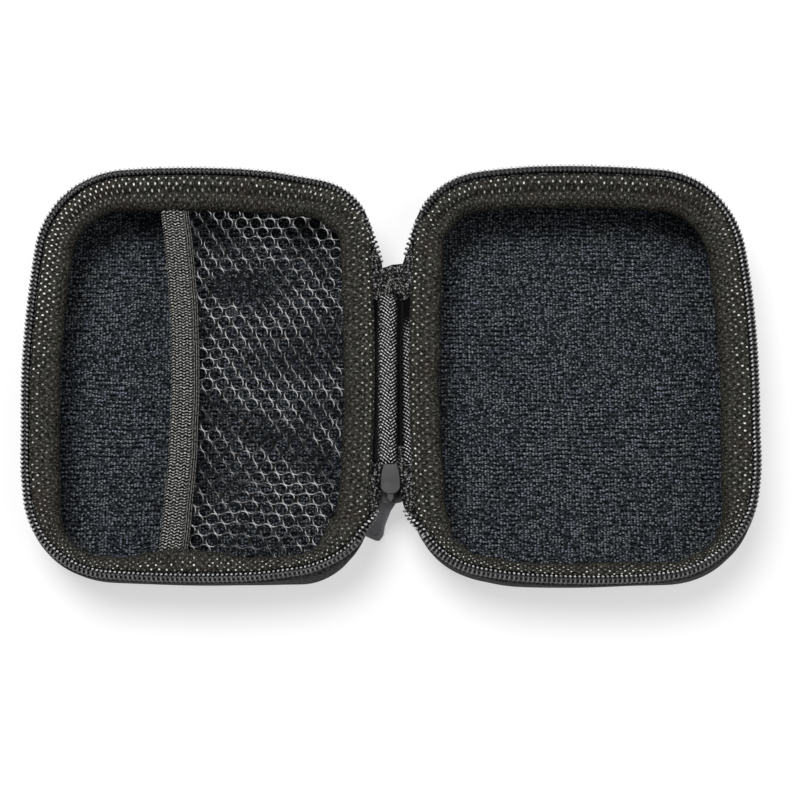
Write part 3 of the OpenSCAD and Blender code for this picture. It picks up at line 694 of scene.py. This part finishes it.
# Binding
BINDING_PROFILE = rounded_loop([
    (3.25, 19.3), (3.15, 20.7), (3.4, 21.9), (4.1, 22.65), (5.0, 22.85), (5.9, 22.65), (6.6, 22.2), (7.1, 22.0),
    (7.7, 22.1), (8.5, 22.0), (9.3, 21.5), (10.0, 20.7), (10.45, 19.7), (10.6, 18.6), (10.3, 17.6), (9.5, 17.0),
    (8.2, 16.6), (6.6, 15.6), (5.2, 14.6), (4.5, 15.6), (4.0, 17.6)], 1)
PROFILE_OUTER, PROFILE_INNER = 3.15, 10.6


def tuck(s):
    """From 0 where the zipper is on the rim to 1 along the hinge, over the last 9 mm of each corner"""
    x, y = rim_point(s).T
    corner_end = np.where(y > 0, 50.0, 48.0)
    return np.where(x > 0, 0, ease((corner_end - abs(y)) / 9))


def binding_shift(side, s, inner):
    """How far the binding moves along the hinge. Both bindings lean to the base's side there."""
    return -tuck(s) * ((2.9 if side < 0 else 2.1) - 1.25 * inner)


def make_binding(side):
    s = np.linspace(0, RIM_LEN, 640, endpoint=False)
    v = lengths_of(BINDING_PROFILE, closed=True)
    cx, cy = around(s, 60)
    fx, fy = around(s, 200)
    wave = wobbles(cx, cy, 2.0 * side)
    ruffle = wobbles(fx, fy, 5.0 * side)
    # The fold along the binding's middle is deepest at the end away from the slider
    y = rim_point(s)[:, 1]
    fold = np.clip(0.15 + 1.3 * ease((y - 40) / 12) + 0.5 * wobbles(cx * 0.5, cy * 0.5, 7.0 * side), 0, 1.6)
    low, high = BINDING_OUTER[side](s), BINDING_INNER[side](s)
    rings = []
    for inset, z in BINDING_PROFILE:
        inner = ease((inset - 6.0) / 4.4)
        top = ease((z - 16.5) / 4)
        lump = wobbles(cx * 1.7 + inset * 0.21, cy * 1.7, 11.0 * side + z * 0.13)
        here = low + (high - low) * (inset - PROFILE_OUTER) / (PROFILE_INNER - PROFILE_OUTER)
        here = seat(side, s, here) + binding_shift(side, s, inner)
        here = here + inner * top * (0.6 * wave + 0.5 * ruffle) + 0.12 * lump
        crease = fold * math.exp(-((inset - 7.3) / 0.75) ** 2) * float(z > 20)
        height = z + top * (0.25 * lump + inner * (0.45 * wave - 0.3 * ruffle)) - 0.1 * top - 0.9 * crease
        rings.append(rim_ring(s, here, height))
    rings = np.stack(rings, 1)
    # A whole number of dots goes round the rim
    scale = round(RIM_LEN / DOT_PERIOD) * DOT_PERIOD / RIM_LEN
    shape = Shape()
    shape.skin(rings, np.append(s, RIM_LEN) * scale, v, loop_u=True, loop_v=True, flip=side < 0)
    name = SIDES[side]
    obj = shape.make(name + "_rolled_binding", BINDING, name, [name + "_binding"], side=side)


# Zipper
PITCH = 1.27
COIL_MID = 1.35
COIL_Z = 21.9
WIRE = 0.33
TOOTH_HALF = 0.85
HEAD, HEEL = 1.3, 1.42
TURN_STEPS = 18
CORD_HALF, CORD_HIGH, CORD_DROP = 0.98, 0.85, 0.35
# Direction towards the light whose highlights are painted on the coil's teeth
LIGHT_SIDE = np.array([-0.4, 0.92, 0.0])


def coil(shape, count, phase, frame_at, run, flip):
    """A coil's wire with the cord inside it. Frame_at gives place, tape side and tooth side at a length along it.
    The wire's map has its turns, from the tape side round by the tooth, and how far it faces the light, which sets the
    strength of the highlight painted on it."""
    k = np.arange(count * TURN_STEPS + 1)
    theta = TAU * (k % TURN_STEPS) / TURN_STEPS
    turn = k // TURN_STEPS
    back = ease((theta / TAU - 0.5) / 0.5)
    place, across, up = frame_at((turn + phase + back + 0.12 * np.sin(theta)) * PITCH)
    c, d = np.cos(theta), np.sin(theta)
    a = TOOTH_HALF * np.sign(c) * abs(c) ** 0.6
    b = np.where(d > 0, HEAD, HEEL) * np.sign(d) * abs(d) ** 0.65
    line = place + a[:, None] * across + b[:, None] * up
    normal = c[:, None] * across + d[:, None] * up
    head = np.clip(d, 0, 1) ** 4
    faces = -across @ LIGHT_SIDE
    shape.tube(line, WIRE * (1 - 0.08 * head), normal, 6, flip, np.column_stack([k / TURN_STEPS, faces]))

    place, across, up = frame_at(np.linspace(0, run, max(30, int(run))))
    phi = TAU * np.arange(12) / 12
    rings = place[:, None] + (CORD_HALF * np.cos(phi)[None, :, None] * across[:, None]
                              + (CORD_HIGH * np.sin(phi)[None, :, None] - CORD_DROP) * up[:, None])
    shape.skin(rings, np.full(len(place), 0.75), np.zeros(13), loop_v=True, flip=flip, caps=True)


def rim_frames(side):
    """Frames along the coil on the rim, from the slider's end to the tab's"""
    s = np.linspace(S_SLIDER, S_TAB, 4000)
    # Measured along the drawn rim, so that the two chains mesh tooth by tooth
    run = lengths_of(rim_point(s, COIL_MID))

    def frame_at(length):
        here = np.interp(length, run, s)
        n = rim_normal(here)
        place = to_world(side, rim_ring(here, seat(side, here, COIL_MID), COIL_Z))
        across = np.column_stack([-side * n[:, 0], -n[:, 1], np.zeros(len(n))])
        up = np.tile([0.0, 0.0, 1.0], (len(n), 1))
        return place, across, up

    return frame_at, run[-1]


def make_rim_zipper(side):
    frame_at, run = rim_frames(side)
    # Half a pitch apart, so that the teeth pass between each other
    phase = 0.1 if side > 0 else 0.6
    shape = Shape()
    coil(shape, int(run / PITCH - 0.8), phase, frame_at, run, side < 0)
    name = SIDES[side]
    shape.make(name + "_coil_chain", COIL, name, [name + "_zipper_coil"])

    s = np.linspace(S_SLIDER, S_TAB, 380)
    profile = rounded_loop([
        (2.3, 20.7), (2.42, 21.3), (2.65, 21.5), (2.85, 20.9), (2.9, 19.8), (3.6, 19.2), (4.45, 18.0), (4.5, 15.0),
        (3.95, 14.6), (3.85, 17.8), (3.0, 18.7), (1.2, 18.9), (0.75, 19.3), (0.85, 19.8), (2.2, 19.8)], 1)
    v = lengths_of(profile, closed=True)
    rings = np.stack([rim_ring(s, seat(side, s, a), z) for a, z in profile], 1)
    shape = Shape()
    shape.skin(rings, s, v, loop_v=True, flip=side < 0, caps=True)
    shape.make(name + "_knit_tape", TAPE, name, [name + "_zipper_tape"], side=side)


# Ends of the chain's free parts, by side and way. Way is 1 at the slider's end and -1 at the tab's.
MOUTH = {
    (1, 1): (4.5, -37.0, 16.4), (-1, 1): (3.9, -36.8, 16.4),
    (1, -1): (4.7, 32.9, 17.3), (-1, -1): (3.2, 31.6, 17.3),
}
# Where the free tape goes on past the end of its coil: beside the slider, and beside the sewn tab
GUSSET_EDGE = {
    (1, 1): [(3.2, -35.6, 17.55), (2.8, -33.4, 17.6), (2.9, -30.6, 17.8), (3.1, -25.4, 18.05)],
    (-1, 1): [(2.9, -35.6, 17.5), (2.7, -33.4, 17.6), (2.9, -30.6, 17.8), (3.1, -25.4, 18.05)],
    (1, -1): [(3.3, 31.6, 18.6), (3.4, 26.5, 18.9), (3.7, 21.4, 18.7)],
    (-1, -1): [(2.3, 30.6, 18.6), (3.0, 26.5, 18.7), (3.7, 21.4, 18.6)],
}
# Rim length where each leaves the rim, and how much of the rim its tape reaches, by way
LEAVES = {1: S_SLIDER, -1: S_TAB}
GUSSET_REACH = {1: 21.6, -1: 22.6}
GUSSET_STEPS, GUSSET_BANDS = 70, 16


def resampled(line, count):
    run = lengths_of(line)
    at = np.linspace(0, run[-1], count)
    return np.column_stack([np.interp(at, run, line[:, k]) for k in range(3)])


def free_frames(side, way):
    """Frames along the coil from where it leaves the rim to its mouth, rolling a quarter turn on the way"""
    s0 = np.array([LEAVES[way]])
    p = to_world(1, rim_point(s0, seat(side, s0, COIL_MID))[0])
    n = rim_normal(s0)[0]
    target = MOUTH[side, way]
    q = np.array(target[:2])
    reach = np.linalg.norm(q - p)
    # Against the clock the rim runs towards the slider backwards, so its heading turns with the way
    h0 = way * np.array([n[1], -n[0]])
    h1 = np.array([-0.25, way]) / math.hypot(0.25, 1)
    t = np.linspace(0, 1, 200)[:, None]
    line = ((2 * t ** 3 - 3 * t ** 2 + 1) * p + (t ** 3 - 2 * t ** 2 + t) * reach * h0
            + (3 * t ** 2 - 2 * t ** 3) * q + (t ** 3 - t ** 2) * reach * h1)
    run = lengths_of(line)

    def frame_at(length):
        length = np.clip(length, 0, run[-1])
        k = np.interp(length, run, t[:, 0])
        x, y = (np.interp(length, run, c) for c in line.T)
        head = np.column_stack([np.interp(length + 0.05, run, c) - np.interp(length - 0.05, run, c) for c in line.T])
        head /= np.linalg.norm(head, axis=1, keepdims=True)
        out = way * np.column_stack([-head[:, 1], head[:, 0]])
        roll = 0.5 * math.pi * ease(k)
        place = np.column_stack([x, y, COIL_Z + (target[2] - COIL_Z) * ease(k)])
        across = np.column_stack([-np.cos(roll) * out[:, 0], -np.cos(roll) * out[:, 1], np.sin(roll)])
        up = np.column_stack([np.sin(roll) * out[:, 0], np.sin(roll) * out[:, 1], np.cos(roll)])
        for vec in (place, across, up):
            vec[:, 0] *= side
        return place, across, up

    return frame_at, run[-1]


def make_chain_end(side, way):
    frame_at, run = free_frames(side, way)
    shape = Shape()
    coil(shape, int(run / PITCH - 0.3), 0.2, frame_at, run, side < 0)
    name = SIDES[side]
    where = "slider" if way > 0 else "tab"
    end = shape.make(f"{name}_free_coil_at_{where}", COIL, None, [f"{name}_chain_end_at_{where}"])
    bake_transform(end)

    # The tape beside the coil reaches from it to the rim, where it goes in under the binding
    place, across, up = frame_at(np.linspace(0, run, 40))
    over = ease(np.linspace(0, 1.6, 40))[:, None]
    edge = place + (1.1 + 0.15 * over) * across + (1.2 * over - 0.3) * up
    past = np.array(GUSSET_EDGE[side, way]) * [side, 1, 1]
    edge = resampled(np.vstack([edge, past]), GUSSET_STEPS)
    reach = GUSSET_REACH[way]
    k = np.linspace(0, 1, GUSSET_STEPS)
    s = LEAVES[way] - way * reach * k
    inset = seat(side, s, 4.2) + binding_shift(side, s, 0.0)
    rim = to_world(side, rim_ring(s, inset, 19.9 - 0.6 * ease(2 * k)))
    bands = []
    for w in np.linspace(0, 1, GUSSET_BANDS + 1):
        q = edge * (1 - w) + rim * w
        # It passes over the shell's edge before it reaches the binding
        q[:, 2] = edge[:, 2] + (rim[:, 2] - edge[:, 2]) * ease(2.2 * w)
        q[:, 2] += 0.25 * wobbles(q[:, 0] * 0.5, q[:, 1] * 0.5, 4.0) * math.sin(math.pi * w)
        bands.append(q)
    top = np.stack(bands, 1)
    width = np.linalg.norm(top[:, -1] - top[:, 0], axis=1)
    flat = np.stack([np.repeat(k[:, None] * reach, GUSSET_BANDS + 1, 1),
                     width[:, None] * np.linspace(0, 1, GUSSET_BANDS + 1)], -1)
    shape = Shape()
    shape.cloth(top, 0.5, flat, side * way < 0)
    gusset = shape.make(f"{name}_tape_gusset_at_{where}", TAPE, None, ())
    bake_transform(gusset)


# Closed chain behind the slider
JOINED = (-30.0, -20.6)
JOINED_X, JOINED_Z = 1.55, 16.2


def make_joined_chain():
    shape = Shape()
    run = JOINED[1] - JOINED[0]
    for side in SIDES:
        def frame_at(length, side=side):
            n = len(length)
            place = np.column_stack([np.full(n, side * JOINED_X), JOINED[0] + length, np.full(n, JOINED_Z)])
            across = np.tile([0.0, 0.0, 1.0], (n, 1))
            up = np.tile([-side * 1.0, 0.0, 0.0], (n, 1))
            return place, across, up
        coil(shape, int(run / PITCH - 1), 0.2 + 0.25 * (1 + side), frame_at, run, side < 0)
    shape.make("joined_coils", COIL, "spine", ["joined_chain_teeth"])

    shape = Shape()
    y = np.linspace(*JOINED, 20)
    section = rounded_loop([(0.35, 17.4), (2.0, 17.45), (3.85, 17.4), (3.9, 17.65), (3.7, 17.9), (2.0, 17.92),
                            (0.4, 17.9), (0.3, 17.65)], 1)
    for side in SIDES:
        rings = [np.column_stack([side * section[:, 0], np.full(len(section), b), section[:, 1]]) for b in y]
        shape.skin(rings, y, lengths_of(section, closed=True), loop_v=True, flip=side > 0, caps=True)
    shape.make("joined_tapes", TAPE, "spine", ["joined_chain_tape"])


# Spine
WEB_FRONT, WEB_BACK = -25.6, 22.2


def web_height(x, y):
    """Drape of the webbing between the two bindings"""
    back = ease((y - 8) / 9)
    ridge = 0.9 * np.exp(-((x + 0.8) / 1.7) ** 2) + 0.8 * np.exp(-((x - 5.0 - 0.8 * back) / 1.0) ** 2)
    valley = -1.3 * np.exp(-((x - 2.9 - 0.6 * back) / (1.0 + 0.5 * back)) ** 2) * (1 - 0.25 * ease((y + 4) / 10))
    hollow = -1.1 * back * np.exp(-((x + 3.6) / 1.2) ** 2)
    lump = 0.25 * wobbles(x * 0.25, y * 0.09, 7.0) - 1.1 * ease((-24.7 - y) / 0.9)
    over_lip = 18.0 + 0.85 * ease((abs(x) - 3.9) / 1.2)
    return np.maximum(18.55 + ridge + valley + hollow + lump, np.where(abs(x) > 3.9, over_lip, 0))


def make_webbing(side):
    gx, gy = np.meshgrid(side * np.linspace(0, 7.2, 22), np.linspace(WEB_FRONT, WEB_BACK, 60), indexing="xy")
    gy = gy + 0.35 * np.sin(gx * 0.8) * (1 - 2 * (gy > 0))
    # Past the fold the webbing climbs over the shell's edge and goes in under the binding
    top = np.stack([gx, gy, web_height(gx, gy) + 0.5 * ease((abs(gx) - 4.0) / 3.0)], -1)
    shape = Shape()
    shape.cloth(top, 0.75, np.stack([gy, gx], -1), side > 0)
    name = SIDES[side]
    nodes = [name + "_hinge_hem"] + (["hinge_webbing"] if side > 0 else [])
    obj = shape.make(name + "_webbing_half", WEBBING, None, nodes)
    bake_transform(obj)


def make_backing():
    """Outer fabric of the spine, which shows when the case is closed"""
    y = np.linspace(-29.0, 31.0, 60)
    shape = Shape()
    for side in SIDES:
        gx, gy = np.meshgrid(side * np.linspace(0, 4.3, 10), y, indexing="xy")
        # It narrows towards the tab, and sinks between its two ends
        gx = gx * (np.clip((31.4 - gy) / 9.0, 0, 1) * 0.42 + 0.58)
        sink = ease((gy + 28) / 3) * ease((24.5 - gy) / 3)
        top = np.stack([gx, gy, 17.85 - sink + 0.06 * wobbles(gx * 0.4, gy * 0.2, 1.0)], -1)
        shape.cloth(top, 0.55, np.stack([gy, gx], -1), side > 0)
    shape.make("spine_backing", SHELL, "spine", ["hinge_backing"], merge=0.001)


def make_tab():
    """End of the zipper's two tapes, sewn flat behind the webbing"""
    y = np.linspace(21.4, 31.3, 34)
    half_w = np.interp(y, [21.4, 24, 31.3], [3.9, 3.9, 3.1])
    k = np.linspace(-1, 1, 22)
    gx = k[None, :] * half_w[:, None] + 0.6
    gy = y[:, None] + (0.2 * gx + 0.12 * np.cos(k * 5)[None, :]) * ease((y[:, None] - 26) / 5)
    lift = 19.3 + 0.35 * np.cos(k * 3.0)[None, :] + 0.2 * wobbles(gx * 0.5, gy * 0.4, 2.0)
    lift = lift - 1.2 * ease((24 - gy) / 2.2)
    # Its knit fans out towards the end
    fan = np.stack([gy + 0.5 * abs(gx), gx * (1 + 0.05 * (gy - 22))], -1)
    shape = Shape()
    shape.cloth(np.stack([gx, gy, lift], -1), 0.8, fan, True)
    shape.make("sewn_end_tab", TAPE, "spine", ["hinge_end_tab"])


# Pocket
POCKET_EDGE = 10.65
ELASTIC_X, ELASTIC_SAG, ELASTIC_LEAN = 7.4, 3.2, 1.25 / 48.3
ELASTIC_HALF = 4.0


def elastic_mid(y):
    """Where the middle of the elastic lies across the lid. The net pulls it in between its two ends."""
    return ELASTIC_X - ELASTIC_SAG * (1 - (y / (HALF_Y - POCKET_EDGE)) ** 2) + ELASTIC_LEAN * y


def make_elastic():
    y = np.linspace(-51.6, 50.6, 110)
    section = rounded_loop([
        (-ELASTIC_HALF, 18.5), (-3.8, 19.05), (-2.4, 19.2), (0, 19.25), (2.4, 19.2), (3.8, 19.0),
        (ELASTIC_HALF, 18.5), (3.8, 18.0), (2.4, 17.95), (0, 17.95), (-2.4, 17.95), (-3.8, 18.0)], 2)
    v = lengths_of(section, closed=True)
    rings = []
    for b in y:
        x = elastic_mid(b) + section[:, 0] * (1 + 0.03 * wobble(b * 0.12, 1.0)) + 0.15 * wobble(b * 0.1, 3.0)
        z = section[:, 1] + 0.2 * wobble(b * 0.12, 5.0)
        rings.append(np.column_stack([x, np.full(len(x), b), z]))
    shape = Shape()
    shape.skin(rings, y, v, loop_v=True, flip=True, caps=True)
    shape.make("pocket_elastic_band", ELASTIC, "lid", ["pocket_elastic"], side=-1)


def hidden_by(x, y):
    """How far a plan point of the lid lies inside the binding's inner edge, below zero where it is hidden"""
    k = int(np.argmin((RIM_P[:, 0] - x) ** 2 + (RIM_P[:, 1] - y) ** 2))
    return np.dot(RIM_P[k] - np.array([x, y]), RIM_N[k]) - BINDING_INNER[-1](RIM_S[k])


# The net's two steps from hole to hole, its holes' half widths, and its height
NET_A = np.array([4.2, 0.0])
NET_B = np.array([2.1, 2.95])
NET_HOLE = 1.58, 1.68
NET_Z = 17.6


def make_net():
    neighbours = [NET_A, NET_B, NET_B - NET_A, -NET_A, -NET_B, NET_A - NET_B]
    corners = []
    for k in range(6):
        p, q = neighbours[k], neighbours[(k + 1) % 6]
        corners.append(np.linalg.solve(np.array([p, q]), [p @ p / 2, q @ q / 2]))
    border = np.array([corners[k] + (corners[(k + 1) % 6] - corners[k]) * i / 4 for k in range(6) for i in range(4)])
    hole = border / np.linalg.norm(border / NET_HOLE, axis=1, keepdims=True)
    span = np.linalg.norm(border - hole, axis=1)[:, None]
    out = (border - hole) / span
    # Each hole has its own thread, and a furrow parts it from the next hole's: outline and height from below to above
    ridge = 0.17
    loops = [(border, -0.16), (hole, -0.1), (hole - 0.04 * out, 0.03),
             (hole + out * np.minimum(ridge, span * 0.8), 0.2), (border, 0.2 - 0.45 * (span - ridge))]
    # The border below has no thread's colour
    far = [np.ones(len(border))] + [np.linalg.norm(p - hole, axis=1) for p, _ in loops[1:]]
    shape = Shape()
    rows = int(HALF_Y / NET_B[1]) + 1
    cols = int(HALF_X / NET_A[0]) + 1
    count = len(border)
    maps = np.array([np.column_stack([np.arange(count + 1), np.append(away, away[0])]) for away in far])
    for j in range(-rows, rows + 1):
        for i in range(-cols, cols + 1):
            c = np.array([(i + abs(j % 2) / 2) * NET_A[0], j * NET_B[1]])
            if hidden_by(*c) < -1.8 or c[0] > elastic_mid(c[1]) + 1.0 or c[0] < -HALF_X:
                continue
            rings = [np.column_stack([c + p, np.broadcast_to(z, (count, 1))]) for p, z in loops]
            shape.skin(rings, maps, None, loop_v=True)
    for block in shape.points:
        x, y = block[:, 0].copy(), block[:, 1].copy()
        block[:, 0] += 0.6 * wobbles(x * 0.07, y * 0.07, 1.0) + 0.2 * wobbles(x * 0.4, y * 0.4, 2.0)
        block[:, 1] += 1.0 * wobbles(x * 0.06, y * 0.09, 5.0) + 0.2 * wobbles(x * 0.4, y * 0.4, 6.0)
        block[:, 2] += NET_Z + 1.3 * wobbles(x * 0.05, y * 0.1, 8.0) + 0.25 * wobbles(x * 0.3, y * 0.3, 9.0)
    obj = shape.make("pocket_net_mesh", NET, "lid", ["pocket_net"], merge=0.02, side=-1)


for make_half in (make_tray, make_binding, make_rim_zipper):
    for half in SIDES:
        make_half(half)
for half in SIDES:
    for way in LEAVES:
        make_chain_end(half, way)
make_joined_chain()
for half in SIDES:
    make_webbing(half)
make_backing()
make_tab()
make_elastic()
make_net()

# Slider and pull
for name, shade in (("slider_body", SLIDER_PAINT), ("slider_bail", SLIDER_PAINT), ("pull_tab", PULL_PAINT)):
    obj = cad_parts[name]
    obj.data.materials.clear()
    obj.data.materials.append(shade)
    bevel = obj.modifiers.new("edges", "BEVEL")
    bevel.width = 0.18 * MM
    bevel.segments = 3
    bevel.limit_method = "ANGLE"
    bevel.angle_limit = math.radians(35)
    obj.modifiers.new("weighted", "WEIGHTED_NORMAL")


# Floor, light and camera
def make_floor():
    sh = Shade("paper_floor")
    path = sh.add("LightPath")
    seen = sh.math("MAXIMUM", path.outputs["Is Camera Ray"],
                   sh.math("MAXIMUM", path.outputs["Is Glossy Ray"], path.outputs["Is Transmission Ray"]))
    at = sh.place()
    grain = sh.noise(at, 0.02, 2.0)
    far = sh.add("VectorMath", {"operation": "LENGTH"}, Vector=at).outputs["Value"]
    glow = sh.span(far, 250.0, 900.0, 0.54, 1.0)
    lit = sh.add("BsdfDiffuse", Color=sh.mix(sh.span(grain, 0.3, 0.7), (0.5, 0.5, 0.5), (0.52, 0.52, 0.52)))
    glow = sh.add("Emission", Color=(1, 1, 1), Strength=sh.times(seen, glow))
    both = sh.add("AddShader")
    sh.tree.links.new(lit.outputs[0], both.inputs[0])
    sh.tree.links.new(glow.outputs[0], both.inputs[1])
    sh.tree.links.new(both.outputs[0], sh.out.inputs[0])
    size = 3.0
    mesh = bpy.data.meshes.new("floor")
    mesh.from_pydata([(-size, -size, 0), (size, -size, 0), (size, size, 0), (-size, size, 0)], [], [(0, 1, 2, 3)])
    mesh.materials.append(sh.mat)
    floor = new_object("floor", mesh)


def point_at(obj, place, target):
    obj.location = place
    obj.rotation_euler = (Vector(target) - Vector(place)).to_track_quat("-Z", "Y").to_euler()


def lamp(name, place, size, power):
    light = bpy.data.lights.new(name, "AREA")
    light.shape = "DISK"
    light.size = size
    light.energy = power
    point_at(new_object(name, light), place, (0, 0, 0.01))


make_floor()
lamp("key", (-0.2, 0.28, 0.94), 0.5, 7.6)
lamp("fill", (0.45, -0.2, 0.85), 0.6, 1.6)

world = bpy.data.worlds.new("studio")
world.use_nodes = True
bpy.context.scene.world = world
sky = world.node_tree.nodes["Background"]
sky.inputs[0].default_value = (1, 1, 1, 1)
paths = world.node_tree.nodes.new("ShaderNodeLightPath")
strength = world.node_tree.nodes.new("ShaderNodeMapRange")
strength.inputs["To Min"].default_value = 0.22
strength.inputs["To Max"].default_value = 1.0
world.node_tree.links.new(paths.outputs["Is Camera Ray"], strength.inputs["Value"])
world.node_tree.links.new(strength.outputs[0], sky.inputs[1])

view = bpy.data.cameras.new("photo_view")
view.lens = 80.53
view.sensor_width = 36
view.clip_start = 0.01
view.shift_x = 0.01125
view.shift_y = -0.03
camera = new_object("photo_view", view)
point_at(camera, (0.00017, -0.1185, 0.506), (0.00017, -0.0011, 0.02))
bpy.context.scene.camera = camera
bpy.context.scene.view_settings.view_transform = "Standard"
